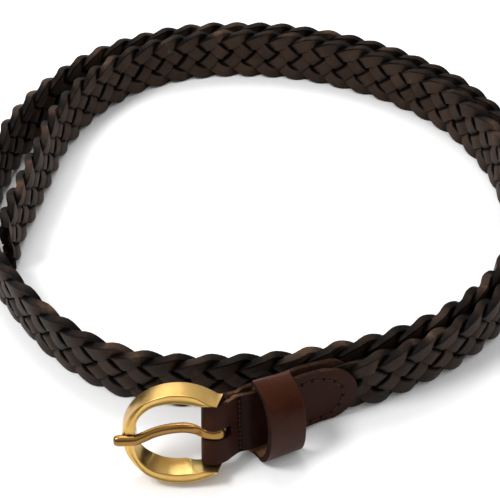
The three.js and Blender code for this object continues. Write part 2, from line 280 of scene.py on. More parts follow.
# pores and fine creases of a finished hide, and its slow change of tone
def makeGrainGroup():
    tree, given, out = newGroup(
        "leatherGrain",
        [("Vector", "NodeSocketVector", None), ("Scale", "NodeSocketFloat", 900.0),
         ("Crease", "NodeSocketFloat", 0.5), ("Patch Scale", "NodeSocketFloat", 90.0)],
        ["Height", "Tone"])
    cells = addNode(tree, "ShaderNodeTexVoronoi", {"feature": "SMOOTH_F1"},
                    {"Vector": given["Vector"], "Scale": given["Scale"], "Smoothness": 0.35})
    creaseScale = maths(tree, "MULTIPLY", given["Scale"], 0.3)
    creases = addNoise(tree, given["Vector"], creaseScale, Detail=4.0, Distortion=0.8)
    ridge = maths(tree, "ABSOLUTE", maths(tree, "SUBTRACT", creases, 0.5))
    ridge = maths(tree, "MULTIPLY", maths(tree, "MULTIPLY", ridge, 4.0), given["Crease"])
    tree.links.new(maths(tree, "ADD", maths(tree, "MULTIPLY", cells.outputs[0], 0.6), ridge), out["Height"])
    patches = addNoise(tree, given["Vector"], given["Patch Scale"], Detail=5.0, Roughness=0.6)
    tree.links.new(spread(tree, patches, 0.3, 0.7), out["Tone"])
    return tree


# where rubbing has taken the dye off an edge, from 0 on the flat to 1 on the edge, broken up
def makeWearGroup():
    tree, given, out = newGroup(
        "edgeWear",
        [("Edge", "NodeSocketFloat", 0.0), ("Vector", "NodeSocketVector", None),
         ("Scale", "NodeSocketFloat", 400.0), ("Amount", "NodeSocketFloat", 0.5)],
        ["Mask"])
    rub = addNoise(tree, given["Vector"], given["Scale"], Detail=6.0, Roughness=0.7)
    uneven = maths(tree, "MULTIPLY", maths(tree, "SUBTRACT", rub, 0.5), 2.2)
    reach = maths(tree, "ADD", maths(tree, "ADD", given["Edge"], uneven), given["Amount"])
    tree.links.new(spread(tree, reach, 1.0, 1.9), out["Mask"])
    return tree


# loose fibres of raw leather, in fine and coarse tufts
def makeFibreGroup():
    tree, given, out = newGroup(
        "rawFibres",
        [("Vector", "NodeSocketVector", None), ("Scale", "NodeSocketFloat", 700.0)],
        ["Height", "Tone"])
    fine = addNoise(tree, given["Vector"], given["Scale"], Detail=8.0, Roughness=0.75, Distortion=1.5)
    coarse = addNoise(tree, given["Vector"], maths(tree, "MULTIPLY", given["Scale"], 0.25), Detail=3.0)
    tree.links.new(fine, out["Height"])
    both = maths(tree, "ADD", maths(tree, "MULTIPLY", fine, 0.6), maths(tree, "MULTIPLY", coarse, 0.4))
    tree.links.new(spread(tree, both, 0.36, 0.64), out["Tone"])
    return tree


# the even, very fine tooth of tumbled brass, with faint handling marks
def makeSatinGroup():
    tree, given, out = newGroup(
        "satinTooth",
        [("Vector", "NodeSocketVector", None), ("Scale", "NodeSocketFloat", 2500.0)],
        ["Height", "Tone"])
    tooth = addNoise(tree, given["Vector"], given["Scale"], Detail=3.0, Roughness=0.7)
    marksScale = maths(tree, "MULTIPLY", given["Scale"], 0.05)
    marks = addNoise(tree, given["Vector"], marksScale, Detail=6.0, Roughness=0.65)
    tree.links.new(tooth, out["Height"])
    tree.links.new(spread(tree, marks, 0.3, 0.7), out["Tone"])
    return tree


grainGroup = makeGrainGroup()
wearGroup = makeWearGroup()
fibreGroup = makeFibreGroup()
satinGroup = makeSatinGroup()


# materials: each reads its piece's Object coordinates and the marks on its points

# a material and a way to feed one of its shader's sockets; sockets that are the same all over are set here
def startMaterial(name, **sockets):
    paint = bpy.data.materials.new(name)
    paint.use_nodes = True
    tree = paint.node_tree
    shader = tree.nodes["Principled BSDF"]
    for label, value in sockets.items():
        shader.inputs[label.replace("_", " ")].default_value = value
    coords = tree.nodes.new("ShaderNodeTexCoord").outputs["Object"]

    def feed(label, output):
        tree.links.new(output, shader.inputs[label])

    return paint, tree, coords, feed


def useGroup(tree, group, **inputs):
    inputs = {label.replace("_", " "): value for label, value in inputs.items()}
    return addNode(tree, "ShaderNodeGroup", {"node_tree": group}, inputs).outputs


def readMark(tree, name):
    return addNode(tree, "ShaderNodeAttribute", {"attribute_name": name}).outputs["Fac"]


def bumped(tree, height, depth, strength=1.0):
    inputs = {"Height": height, "Distance": depth, "Strength": strength}
    return addNode(tree, "ShaderNodeBump", None, inputs).outputs[0]


def makeLaceLeather(name, look):
    paint, tree, coords, feed = startMaterial(name, Specular_IOR_Level=look["shine"])
    grain = useGroup(tree, grainGroup, Vector=coords, Scale=1500.0, Crease=0.7, Patch_Scale=110.0)
    scuffed = spread(tree, grain["Tone"], 0.45, 0.95, *look["wear"])
    wear = useGroup(tree, wearGroup, Edge=readMark(tree, "edge"), Vector=coords, Scale=260.0, Amount=scuffed)
    tone = maths(tree, "ADD", maths(tree, "MULTIPLY", grain["Tone"], 0.5),
                 maths(tree, "MULTIPLY", readMark(tree, "tone"), 0.5))
    colour = blendColours(tree, tone, look["dark"], look["light"])
    colour = blendColours(tree, maths(tree, "MULTIPLY", wear["Mask"], 0.85), colour, look["worn"])
    # the cut sides of the laces are paler and duller than the grain side
    bareAndPaintedHighlight = readMark(tree, "bareAndPaintedHighlight")
    cut = maths(tree, "MULTIPLY", bareAndPaintedHighlight, spread(tree, grain["Tone"], 0.2, 0.8, 0.35, 1.0))
    colour = blendColours(tree, cut, colour, look["cut"])
    # painted shade, near black, in the plait's crevices and gaps
    feed("Base Color", blendColours(tree, readMark(tree, "sunk"), colour, look["sunk"]))
    feed("Roughness", maths(tree, "ADD", spread(tree, grain["Tone"], 0.0, 1.0, *look["roughness"]),
                            maths(tree, "MULTIPLY", bareAndPaintedHighlight, 0.4)))
    feed("Normal", bumped(tree, grain["Height"], 0.00007))
    return paint


def makeStrapLeather(name, look):
    paint, tree, coords, feed = startMaterial(name, Specular_IOR_Level=look["shine"])
    grain = useGroup(tree, grainGroup, Vector=coords, Scale=1800.0, Crease=0.35, Patch_Scale=120.0)
    wear = useGroup(tree, wearGroup, Edge=readMark(tree, "edge"), Vector=coords, Scale=300.0,
                    Amount=look["wear"])
    colour = blendColours(tree, grain["Tone"], look["dark"], look["light"])
    colour = blendColours(tree, maths(tree, "MULTIPLY", wear["Mask"], 0.6), colour, look["worn"])
    # painted shade, near black, where its mark is set: on the tab between its pinch and the keeper
    feed("Base Color", blendColours(tree, readMark(tree, "sunk"), colour, (0.004, 0.002, 0.0015)))
    feed("Roughness", spread(tree, grain["Tone"], 0.0, 1.0, look["roughness"] - 0.05,
                             look["roughness"] + 0.07))
    feed("Normal", bumped(tree, grain["Height"], 0.00004))
    return paint


def makeRawLeather(name, dark, light, depth):
    paint, tree, coords, feed = startMaterial(name, Roughness=0.9, Specular_IOR_Level=0.05)
    fibre = useGroup(tree, fibreGroup, Vector=coords, Scale=900.0)
    ragged = maths(tree, "MULTIPLY", spread(tree, fibre["Tone"], 0.5, 0.8), readMark(tree, "bareAndPaintedHighlight"))
    tone = maths(tree, "ADD", maths(tree, "MULTIPLY", fibre["Tone"], 0.08), ragged, True)
    feed("Base Color", blendColours(tree, tone, dark, light))
    feed("Normal", bumped(tree, fibre["Height"], depth))
    return paint


def makeThread(name, dark, light):
    paint, tree, coords, feed = startMaterial(name, Roughness=0.7, Specular_IOR_Level=0.1)
    twist = addNode(tree, "ShaderNodeTexWave", {"bands_direction": "DIAGONAL"},
                    {"Vector": coords, "Scale": 900.0, "Distortion": 1.0, "Detail": 2.0}).outputs[1]
    feed("Base Color", blendColours(tree, twist, dark, light))
    feed("Normal", bumped(tree, twist, 0.00006))
    return paint


def makeBrass(name, look):
    paint, tree, coords, feed = startMaterial(name, Metallic=1.0)
    satin = useGroup(tree, satinGroup, Vector=coords, Scale=2600.0)
    wear = useGroup(tree, wearGroup, Edge=readMark(tree, "edge"), Vector=coords, Scale=500.0, Amount=0.35)
    colour = blendColours(tree, satin["Tone"], look["darkBrass"], look["bright"])
    # painted highlight: paler brass on the lower arm's inner wall, standing in for its bright reflection
    colour = blendColours(tree, readMark(tree, "bareAndPaintedHighlight"), colour, (0.70, 0.53, 0.21))
    colour = blendColours(tree, maths(tree, "MULTIPLY", wear["Mask"], 0.5), colour, (0.95, 0.75, 0.4))
    # painted shade, dark brown, along the ring's crease and inner rim
    feed("Base Color", blendColours(tree, readMark(tree, "sunk"), colour, (0.15, 0.075, 0.02)))
    feed("Roughness", spread(tree, satin["Tone"], 0.0, 1.0, look["roughness"] + 0.05,
                             look["roughness"] - 0.04))
    feed("Normal", bumped(tree, satin["Height"], 0.00001, 0.2))
    return paint


laceLeather = makeLaceLeather("laceLeather", {
    "dark": (0.013, 0.0080, 0.0057), "light": (0.047, 0.0282, 0.0193), "worn": (0.15, 0.085, 0.052),
    # the paler cut sides, then the near-black painted shade of the crevices
    "cut": (0.062, 0.038, 0.024), "sunk": (0.0015, 0.001, 0.0008),
    "roughness": (0.38, 0.52), "wear": (0.16, 0.62), "shine": 0.05,
})
tabLeather = makeStrapLeather("tabLeather", {
    "dark": (0.022, 0.0062, 0.0036), "light": (0.034, 0.0100, 0.0058), "worn": (0.08, 0.032, 0.018),
    "roughness": 0.42, "wear": 0.2, "shine": 0.05,
})
keeperLeather = makeStrapLeather("keeperLeather", {
    "dark": (0.029, 0.0072, 0.0030), "light": (0.044, 0.0116, 0.0047), "worn": (0.12, 0.042, 0.02),
    "roughness": 0.3, "wear": 0.15, "shine": 0.06,
})
# near-black paint on the hole dimples, standing in for the shade inside a punched hole
paintedHoleShade = makeStrapLeather("paintedHoleShade", {
    "dark": (0.004, 0.002, 0.0015), "light": (0.008, 0.004, 0.003), "worn": (0.02, 0.01, 0.006),
    "roughness": 0.8, "wear": 0.0, "shine": 0.05,
})
keeperSuede = makeRawLeather("keeperSuede", (0.12, 0.055, 0.030), (0.30, 0.15, 0.085), 0.0004)
suede = makeRawLeather("suede", (0.035, 0.015, 0.009), (0.26, 0.125, 0.07), 0.0003)
cutEdge = makeRawLeather("cutEdge", (0.0115, 0.0055, 0.004), (0.24, 0.118, 0.062), 0.0002)
stitchThread = makeThread("stitchThread", (0.018, 0.008, 0.005), (0.085, 0.035, 0.02))
satinBrass = makeBrass("satinBrass", {
    "bright": (0.66, 0.42, 0.128), "darkBrass": (0.56, 0.34, 0.096), "roughness": 0.3,
})
prongBrass = makeBrass("prongBrass", {
    "bright": (0.31, 0.172, 0.052), "darkBrass": (0.24, 0.125, 0.036), "roughness": 0.22,
})
print("materials made")


# every mesh starts with the marks that its materials read: where it is rubbed, where it is paler (on the
# plait partly painted light), where it is raw together with a painted highlight on the ring, and where shade
# is painted
def startMesh():
    bm = bmesh.new()
    bm.loops.layers.uv.new("along")
    for name in ("edge", "tone", "bareAndPaintedHighlight", "sunk"):
        bm.verts.layers.float.new(name)
    for name in ("row", "column"):
        bm.verts.layers.int.new(name)
    return bm


# a skin over a path: rows run along it, columns across it or round it, and shape gives each point
# and its marks; a wrapped direction closes on itself, and a tube's ends can be capped
def sweep(bm, rows, columns, shape, wrapColumns=False, wrapRows=False, capped=False):
    rowMark, columnMark = bm.verts.layers.int["row"], bm.verts.layers.int["column"]
    made = bmesh.ops.create_grid(bm, x_segments=rows, y_segments=columns, size=0.5, calc_uvs=True)["verts"]
    for vert in made:
        row = round((vert.co.x + 0.5) * rows)
        column = round((vert.co.y + 0.5) * columns)
        vert[rowMark] = row % rows if wrapRows else row
        vert[columnMark] = column % columns if wrapColumns else column
        point, marks = shape(vert[rowMark], vert[columnMark])
        vert.co = point
        for name, value in marks.items():
            vert[bm.verts.layers.float[name]] = value
    if wrapColumns or wrapRows:
        bmesh.ops.remove_doubles(bm, verts=made, dist=1e-8)
    if capped:
        rims = {edge for vert in made if vert.is_valid for edge in vert.link_edges if edge.is_boundary}
        bmesh.ops.holes_fill(bm, edges=list(rims), sides=columns + 2)


# gives a skin its leather's thickness: shape places the far side from each point's row and column
def thicken(bm, shape, rimBevel, rimSteps):
    rowMark, columnMark = bm.verts.layers.int["row"], bm.verts.layers.int["column"]
    outer = set(bm.faces)
    made = bmesh.ops.extrude_face_region(bm, geom=bm.faces[:])["geom"]
    inner = {item for item in made if isinstance(item, bmesh.types.BMFace)}
    for vert in made:
        if isinstance(vert, bmesh.types.BMVert):
            vert.co = shape(vert[rowMark], vert[columnMark])
    for face in bm.faces:
        face.material_index = 0 if face in outer else 1 if face in inner else 2
    bm.normal_update()
    rims = [edge for edge in bm.edges if len({face.material_index for face in edge.link_faces}) > 1]
    bmesh.ops.recalc_face_normals(bm, faces=bm.faces)
    bmesh.ops.bevel(bm, geom=rims, offset=rimBevel * mm, offset_type="OFFSET", segments=rimSteps,
                    profile=0.5, affect="EDGES", clamp_overlap=True, material=-1)


def finishMesh(bm, name, body, materials, sharpAngle, replaced=()):
    for mark in ("row", "column"):
        bm.verts.layers.int.remove(bm.verts.layers.int[mark])
    mesh = bpy.data.meshes.new(name)
    bm.to_mesh(mesh)
    bm.free()
    for paint in materials:
        mesh.materials.append(paint)
    mesh.shade_smooth()
    mesh.set_sharp_from_angle(angle=math.radians(sharpAngle))
    piece = bpy.data.objects.new(name, mesh)
    bpy.context.scene.collection.objects.link(piece)
    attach(piece, body)
    if replaced:
        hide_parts(*replaced)
    print(name, "made,", len(mesh.polygons), "faces")


# the plait

plait = {
    "start": keeper["start"] + keeper["width"] + 2.6,
    "laces": 5,
    "laceWidth": 5.3,
    "laceThickness": 2.5,
    "slope": 44,
    "turnRound": 7.8,
    # how far a lace rises and sinks, and how long it stays up or down
    "wave": 1.0,
    "dwell": 1.9,
    # inside the tab the laces lie flatter and narrower, up to these distances from its end
    "endWave": 0.3,
    "endWidth": 0.88,
    "swells": (-3, 5),
    "tailWave": 0.75,
    "tailLength": 6,
    "stepsPerPitch": 9,
    "margin": 3,
    "probe": 0.4,
    "loose": 0.14,
    "tilt": 5,
    "widthChange": 0.07,
    "toneChange": 0.9,
    # heights from the middle between which the edge begins, and the rubbed part of a scuffed lace
    "rim": (6.5, 8.5),
    "scuffHeights": (4.5, 7.5),
    "scuffs": (0.02, 0.3),
    # where the painted shade on a lace begins to fade and where it is gone, from -1 under its neighbour to
    # 1 over it: at its upper end, at its lower end and at the belt's edges
    "shows": [(-0.6, 0.1), (0.05, 0.95), (-1.05, -0.35)],
    # shares of a lace's width: its upper side and its lower side, which get painted shade, and its pale cut
    # sides
    "gapSide": (0.35, 0.41),
    "lowSide": (0.46, 0.49),
    "cutSides": (0.45, 0.49),
    # strength of the painted shade over a gap in the middle of the belt and at its upper edge, and on the
    # lower side
    "gapPaintedShade": (0.97, 0.05),
    "lowPaintedShade": 0.15,
    # painted light: how much paler the belt's inner face and its outer face are painted, standing in for the
    # light on them, and how much paler its upper edge is
    "paintedLight": (0.35, -0.2, 0.35),
    # how rubbed the laces are in the middle of the belt, at its edges, and where they are scuffed
    "rubbed": (0.55, 1.2),
    "scuffed": 0.8,
    # place across the width, place through the thickness, and how near the edge it is
    "section": [
        (-0.5, -0.38, 1), (-0.485, -0.46, 1), (-0.45, -0.5, 0.8), (0, -0.51, 0), (0.35, -0.51, 0.2),
        (0.41, -0.505, 0.7), (0.485, -0.46, 1), (0.5, -0.38, 1), (0.5, 0.38, 1), (0.485, 0.46, 1),
        (0.41, 0.505, 0.7), (0.35, 0.51, 0.2), (0, 0.51, 0), (-0.45, 0.5, 0.8), (-0.485, 0.46, 1),
        (-0.5, 0.38, 1),
    ],
    # for each kind of unevenness: pace along a lace, distance between laces, and a seed
    "unevenness": {
        "drift": (0.045, 7.3, 0), "lift": (0.07, 3.1, 5), "tilt": (0.16, 9.1, 2),
        "width": (0.11, 5.7, 9), "tone": (0.13, 11.9, 4), "scuff": (0.12, 4.3, 8),
    },
}
plait["length"] = routeLength - plait["start"]
plait["pitches"] = round(plait["length"] / belt["pitch"])
plait["pitch"] = plait["length"] / plait["pitches"]


# height of a lace above the strap's middle at a distance x along its run of five pitches,
# which goes from the lower edge to the upper edge and back
def laceHeight(x):
    p, m, soft = plait["pitch"], math.tan(math.radians(plait["slope"])), plait["turnRound"]
    fromTop = abs(x % (5 * p) - 2.5 * p)
    fromEdge = min(fromTop, 2.5 * p - fromTop)
    rounded = m * (soft - fromEdge) ** 2 / (2 * soft) if fromEdge < soft else 0
    height = m * (1.25 * p - fromEdge) - rounded
    return height if fromTop < 1.25 * p else -height


# 1 where the lace lies over its neighbour, -1 where it lies under
def laceLayer(x):
    q = (x / plait["pitch"]) % 5
    if 0.5 <= q <= 2:
        wave = math.cos(2 * math.pi * q)
    elif 2 < q < 3:
        wave = math.cos(math.pi * (q - 2))
    elif 3 <= q <= 4.5:
        wave = -math.cos(2 * math.pi * q)
    else:
        wave = math.cos(math.pi * ((q - 4.5) % 5))
    return math.tanh(plait["dwell"] * wave) / math.tanh(plait["dwell"])


def layLace(bm, lace):
    rows = plait["pitches"] * plait["stepsPerPitch"]
    margin, probe = plait["margin"], plait["probe"]

    def uneven(kind, s):
        pace, apart, seed = plait["unevenness"][kind]
        return noise.noise(Vector((s * pace, lace * apart, seed)))

    def swell(s):
        return smooth(s, tab["length"] + plait["swells"][0], tab["length"] + plait["swells"][1])

    def run(s):
        return s - plait["start"] + lace * plait["pitch"]

    # the lace's middle at one distance from the bar, and how much of its full wave it has there
    def middle(s):
        drift = uneven("drift", s) * plait["loose"]
        lift = uneven("lift", s) * plait["loose"] * 0.5
        up = laceHeight(run(s)) * mix(plait["endWidth"], 1, swell(s)) + drift
        tail = mix(plait["tailWave"], 1, smooth(routeLength - s, 0, plait["tailLength"]))
        deep = mix(plait["endWave"], 1, swell(s)) * tail
        return Vector((s + drift, (laceLayer(run(s)) * plait["wave"] + lift) * deep, up)), deep

    def station(s):
        point, deep = middle(s)
        along = (middle(s + probe)[0] - middle(s - probe)[0]).normalized()
        side = Vector((-along.z, 0, along.x)).normalized()
        face = along.cross(side)
        if face.y < 0:
            face = -face
        tilt = math.radians(plait["tilt"]) * 2 * uneven("tilt", s)
        c, d = math.cos(tilt), math.sin(tilt)
        side, face = side * c + face * d, face * c - side * d
        width = plait["laceWidth"] * mix(plait["endWidth"], 1, swell(s))
        width *= 1 + plait["widthChange"] * uneven("width", s)
        tone = clamp(0.5 + plait["toneChange"] * uneven("tone", s), 0, 1)
        # positive where the lace comes up to the outer side on its way up
        rising = (laceLayer(run(s) + probe) - laceLayer(run(s) - probe)) * math.copysign(1, along.z)
        atRim = smooth(abs(point.z), *plait["rim"])
        scuff = smooth(uneven("scuff", s), *plait["scuffs"]) * smooth(point.z, *plait["scuffHeights"])
        return (point, side * width, face * plait["laceThickness"] * deep, tone, laceLayer(run(s)), rising,
                atRim, scuff)

    length = plait["length"] + 2 * margin
    stations = [station(plait["start"] - margin + length * row / rows) for row in range(rows + 1)]

    def shape(row, column):
        point, side, face, tone, over, rising, atRim, scuff = stations[row]
        across, through, edge = plait["section"][column]
        facing = over * math.copysign(1, through)
        # painted shade: a lace is painted darker as it goes down into a gap at its lower end, and as it goes
        # straight under its neighbour at its upper end
        lowEnd = smooth(rising * math.copysign(1, through), -0.02, 0.02)
        upperShows, lowerShows, rimShows = (smooth(facing, *heights) for heights in plait["shows"])
        sunk = mix(1 - mix(upperShows, lowerShows, lowEnd), 1 - rimShows, atRim)
        # painted shade too on its upper side, which stands over a gap, and a little on its lower side, which
        # lies close on its neighbour
        gap = smooth(across, *plait["gapSide"])
        gap *= mix(*plait["gapPaintedShade"], atRim if point.z > 0 else 0.3 * atRim)
        low = plait["lowPaintedShade"] * smooth(-across, *plait["lowSide"]) * (1 - atRim)
        # painted light: the belt's inner face is painted paler than its outer one, standing in for the light
        # that falls on them, and its upper edge is paler still
        inner, outer, rim = plait["paintedLight"]
        tone += (inner if through < 0 else outer) + (rim * atRim if point.z > 0 else 0)
        at = point + side * across + face * through
        at.x = clamp(at.x, plait["start"], routeLength)
        at.z = clamp(at.z, -belt["width"] / 2, belt["width"] / 2)
        return place(at.x, at.y, at.z), {
            "edge": max(edge * mix(*plait["rubbed"], atRim), plait["scuffed"] * scuff),
            "sunk": max(sunk, gap, low) * (1 - scuff),
            "tone": clamp(tone, 0, 1.4),
            "bareAndPaintedHighlight": smooth(abs(across), *plait["cutSides"]) * atRim,
        }

    sweep(bm, rows, len(plait["section"]), shape, wrapColumns=True, capped=True)


def makePlait():
    bm = startMesh()
    for lace in range(plait["laces"]):
        layLace(bm, lace)
    bmesh.ops.recalc_face_normals(bm, faces=bm.faces)
    finishMesh(bm, "plait", "strap", [laceLeather], 50, ["braided_strap"])


makePlait()


# the folded tab

# shares of half its height, mirrored, and distances from the bar, at which its skin has points
tabSlotShare = tab["slotHeight"] / tab["barWidth"]
tabColumns = [0.06, tabSlotShare, 0.3, 0.42, 0.54, 0.66, 0.77, 0.86, 0.93, 0.965, 0.99, 1]
tabColumns = [-share for share in reversed(tabColumns)] + tabColumns
tabStep = tab["slotReach"] / 7
tabAlongs = [tabStep * i for i in range(int(tab["length"] / tabStep) + 1)] + [tab["length"]]
tabLast = len(tabAlongs) - 1
tabFoldSteps = 14


def tabHalf(along):
    return mix(tab["barWidth"], tab["width"], smooth(along, *tab["widens"])) / 2


def tabThickness(along):
    thin = smooth(along, tab["length"] - tab["thinLength"], tab["length"])
    return mix(tab["leather"], tab["thinLeather"], thin)


# distance from the bar of a row, which runs along one layer, round the fold and along the other layer
def tabAlongAt(row):
    return tabAlongs[tabLast - row if row <= tabLast else max(row - tabLast - tabFoldSteps, 0)]


# a point of the folded strip: 1 is the outer, grain side and 0 the inner side
def tabPoint(row, column, side):
    share = tabColumns[column]
    if tabLast < row < tabLast + tabFoldSteps:
        angle = math.pi * (row - tabLast) / tabFoldSteps
        radius = tab["foldRadius"] + tab["leather"] * side
        return place(-math.sin(angle) * radius, math.cos(angle) * radius, share * tabHalf(0))
    layer, along = 1 if row <= tabLast else -1, tabAlongAt(row)
    nearEnd = smooth(along, tab["length"] - tab["roundLength"], tab["length"])
    # 0.98 leaves the end's corners a little square
    rounding = tab["endRound"] * (1 - math.sqrt(1 - 0.98 * share * share)) * nearEnd
    out = layer * (between(tab["layers"], along) + tabThickness(along) * side)
    return place(along - rounding, out, share * tabHalf(along))


def makeTab():
    bm = startMesh()
    rawNear, rawAll = tab["raw"]

    def shape(row, column):
        share, along = tabColumns[column], tabAlongAt(row)
        bareAndPaintedHighlight = rawNear * (1 - smooth(along, *tab["rawUntil"])) + rawAll
        return tabPoint(row, column, 1), {
            "edge": max(smooth(abs(share), tab["rubbed"], 1),
                        smooth(along, tab["length"] - tab["rubbedEnd"], tab["length"])),
            "bareAndPaintedHighlight": bareAndPaintedHighlight * smooth(share, *tab["rawShares"]),
            # painted shade between the pinch and the keeper
            "sunk": tab["dark"] * smooth(along, *tab["shadeFrom"]) * (1 - smooth(along, *tab["shadeUntil"])),
        }

    sweep(bm, 2 * tabLast + tabFoldSteps, len(tabColumns) - 1, shape)
    rowMark, columnMark = bm.verts.layers.int["row"], bm.verts.layers.int["column"]

    # the prong's slot, which goes through the fold
    def inSlot(vert):
        return (abs(tabColumns[vert[columnMark]]) < tabSlotShare + 0.001
                and tabAlongAt(vert[rowMark]) < tab["slotReach"] + 0.01)

    slot = [face for face in bm.faces if all(inSlot(vert) for vert in face.verts)]
    bmesh.ops.delete(bm, geom=slot, context="FACES")
    thicken(bm, lambda row, column: tabPoint(row, column, 0), tab["rimBevel"], 2)
    finishMesh(bm, "foldedTab", "strap", [tabLeather, suede, cutEdge], 40, ["tab"])


makeTab()


# the keeper loop

# point and direction of a closed curve through some points, at a share of the way round
def onClosedCurve(points, t):
    count = len(points)
    at = (t % 1) * count
    i = int(at)
    u = at - i
    p = [points[(i + k) % count] for k in (-1, 0, 1, 2)]
    g = [max((p[k + 1] - p[k]).length ** 0.5, 1e-4) for k in range(3)]
    enter = ((p[1] - p[0]) / g[0] - (p[2] - p[0]) / (g[0] + g[1]) + (p[2] - p[1]) / g[1]) * g[1]
    leave = ((p[2] - p[1]) / g[1] - (p[3] - p[1]) / (g[1] + g[2]) + (p[3] - p[2]) / g[2]) * g[1]
    square = p[2] * 3 - p[1] * 3 - enter * 2 - leave
    cube = p[1] * 2 - p[2] * 2 + enter + leave
    point = p[1] + enter * u + square * u * u + cube * u * u * u
    return point, (enter + square * 2 * u + cube * 3 * u * u).normalized()


# the loop's line at one share of its width, with its origin and its directions out and ahead
def keeperLine(share):
    along = keeper["start"] + share * keeper["width"]
    step = centreLine["step"]
    ground = onRoute(along)
    ahead = (onRoute(along + step) - onRoute(max(along - step, 0))).normalized()
    outward = Vector((ahead.y, -ahead.x, 0))
    points = []
    for legShare in keeper["legShares"]:
        legAlong = along + keeper["skew"] * (legShare - 0.5)
        leg = place(legAlong, 0, 2 * legShare * tabHalf(legAlong)) / mm - routeShift - ground
        points.append(Vector((leg.dot(outward), leg.z, leg.dot(ahead))))
    for nearOut, nearUp, farOut, farUp in keeper["rows"]:
        out, up = mix(nearOut, farOut, share), mix(nearUp, farUp, share)
        points.append(Vector((out, up, keeper["skew"] * (up / keeper["rows"][0][1] - 1))))
    return ground + routeShift, outward, ahead, points


# half the leather's thickness, thinner where the leg is
def keeperHalf(t):
    legs = len(keeper["legShares"])
    points = legs + len(keeper["rows"])
    past = max(min(t * points - (legs - 1), points - t * points), 0)
    return mix(keeper["leg"], keeper["leather"], smooth(past, 0, keeper["legEnds"])) / 2


def makeKeeper():
    bm = startMesh()
    around, across = keeper["around"], keeper["across"]
    lines = [keeperLine(i / across) for i in range(across + 1)]

    def keeperPoint(row, column, side):
        t = row / around
        origin, outward, ahead, points = lines[column]
        middle, onward = onClosedCurve(points, t)
        onward.z = 0
        onward.normalize()
        offset = side * keeperHalf(t)
        at = origin + outward * (middle.x + onward.y * offset) + ahead * middle.z
        at.z = origin.z + middle.y - onward.x * offset
        return at * mm

    def shape(row, column):
        edge = smooth(abs(column / across - 0.5) * 2, keeper["rubbed"], 1)
        return keeperPoint(row, column, -1), {"edge": edge, "bareAndPaintedHighlight": keeper["raw"] - keeper["raw"] * edge}

    sweep(bm, around, across, shape, wrapRows=True)
    thicken(bm, lambda row, column: keeperPoint(row, column, 1), keeper["rimBevel"], 3)
    finishMesh(bm, "keeperLoop", "strap", [keeperLeather, keeperSuede, cutEdge], 40,
               ["keeper_loop"])


makeKeeper()


# the stitches and their holes

stitching = {
    # holes along the tab's rounded end, as distance from the bar and height from the middle
    "end": [(23.6, 5.4), (27.1, 6.8), (30.4, 7.3), (34.1, 6.7), (37.5, 5.2), (39.8, 2.6), (40.3, -0.9),
            (39.2, -4.6), (37, -7.0), (33.6, -8.0), (30, -7.9), (26.5, -7.4), (23.2, -6.2)],
    "pinch": 7.4,
    "pinchHoles": 12,
    "pinchReach": 8.2,
    # radius, how far its ends go in and how far it rises from there, steps along it and round it
    "thread": {"radius": 0.17, "depth": 0.45, "rise": 0.62, "steps": 8, "around": 6},
    # radius, the share by which it narrows inwards, height of its rim over the leather, how much lower its
    # middle is, rings and steps round it
    "hole": {"radius": 0.62, "narrows": 0.94, "lift": 0.06, "dip": 0.03, "rings": 3, "around": 10},
}


def tabFace(along, up, layer, lift):
    return place(along, layer * (between(tab["layers"], along) + tabThickness(along) + lift), up)


# one stitch: a short thread that rises from one hole and goes down in the next
def layStitch(bm, start, end, layer):
    a, b, thread = Vector(start), Vector(end), stitching["thread"]

    def shape(row, column):
        t = row / thread["steps"]
        at = a.lerp(b, t)
        lift = -thread["depth"] + thread["rise"] * math.sin(math.pi * t) ** 0.5
        angle = 2 * math.pi * column / thread["around"]
        across = (b - a).orthogonal().normalized() * (math.cos(angle) * thread["radius"])
        lift += math.sin(angle) * thread["radius"]
        return tabFace(at.x + across.x, at.y + across.y, layer, lift), {}

    sweep(bm, thread["steps"], thread["around"], shape, wrapColumns=True, capped=True)


# a punched hole: a little dimple pressed round the thread's end, painted near black as its shade
def punchHole(bm, at, layer):
    hole = stitching["hole"]

    def shape(row, column):
        inward = row / hole["rings"]
        reach = hole["radius"] * (1 - inward * hole["narrows"])
        angle = 2 * math.pi * column / hole["around"]
        along, up = at[0] + math.cos(angle) * reach, at[1] + math.sin(angle) * reach
        return tabFace(along, up, layer, hole["lift"] - hole["dip"] * inward), {}

    sweep(bm, hole["rings"], hole["around"], shape, wrapColumns=True)


def makeStitches():
    threads, holes = startMesh(), startMesh()
    reach, count = stitching["pinchReach"], stitching["pinchHoles"]
    pinch = [(stitching["pinch"], mix(-reach, reach, i / (count - 1))) for i in range(count)]
    for layer in (1, -1):
        for line in (stitching["end"], pinch):
            for i, hole in enumerate(line):
                punchHole(holes, hole, layer)
                if i:
                    layStitch(threads, line[i - 1], hole, layer)
    for bm in (threads, holes):
        bmesh.ops.recalc_face_normals(bm, faces=bm.faces)
    finishMesh(threads, "stitches", "strap", [stitchThread], 60)
    finishMesh(holes, "stitchHoles", "strap", [paintedHoleShade], 60)


makeStitches()


# the buckle: its bar lies along Y at the origin, the ring reaches towards -X and its front faces +Z

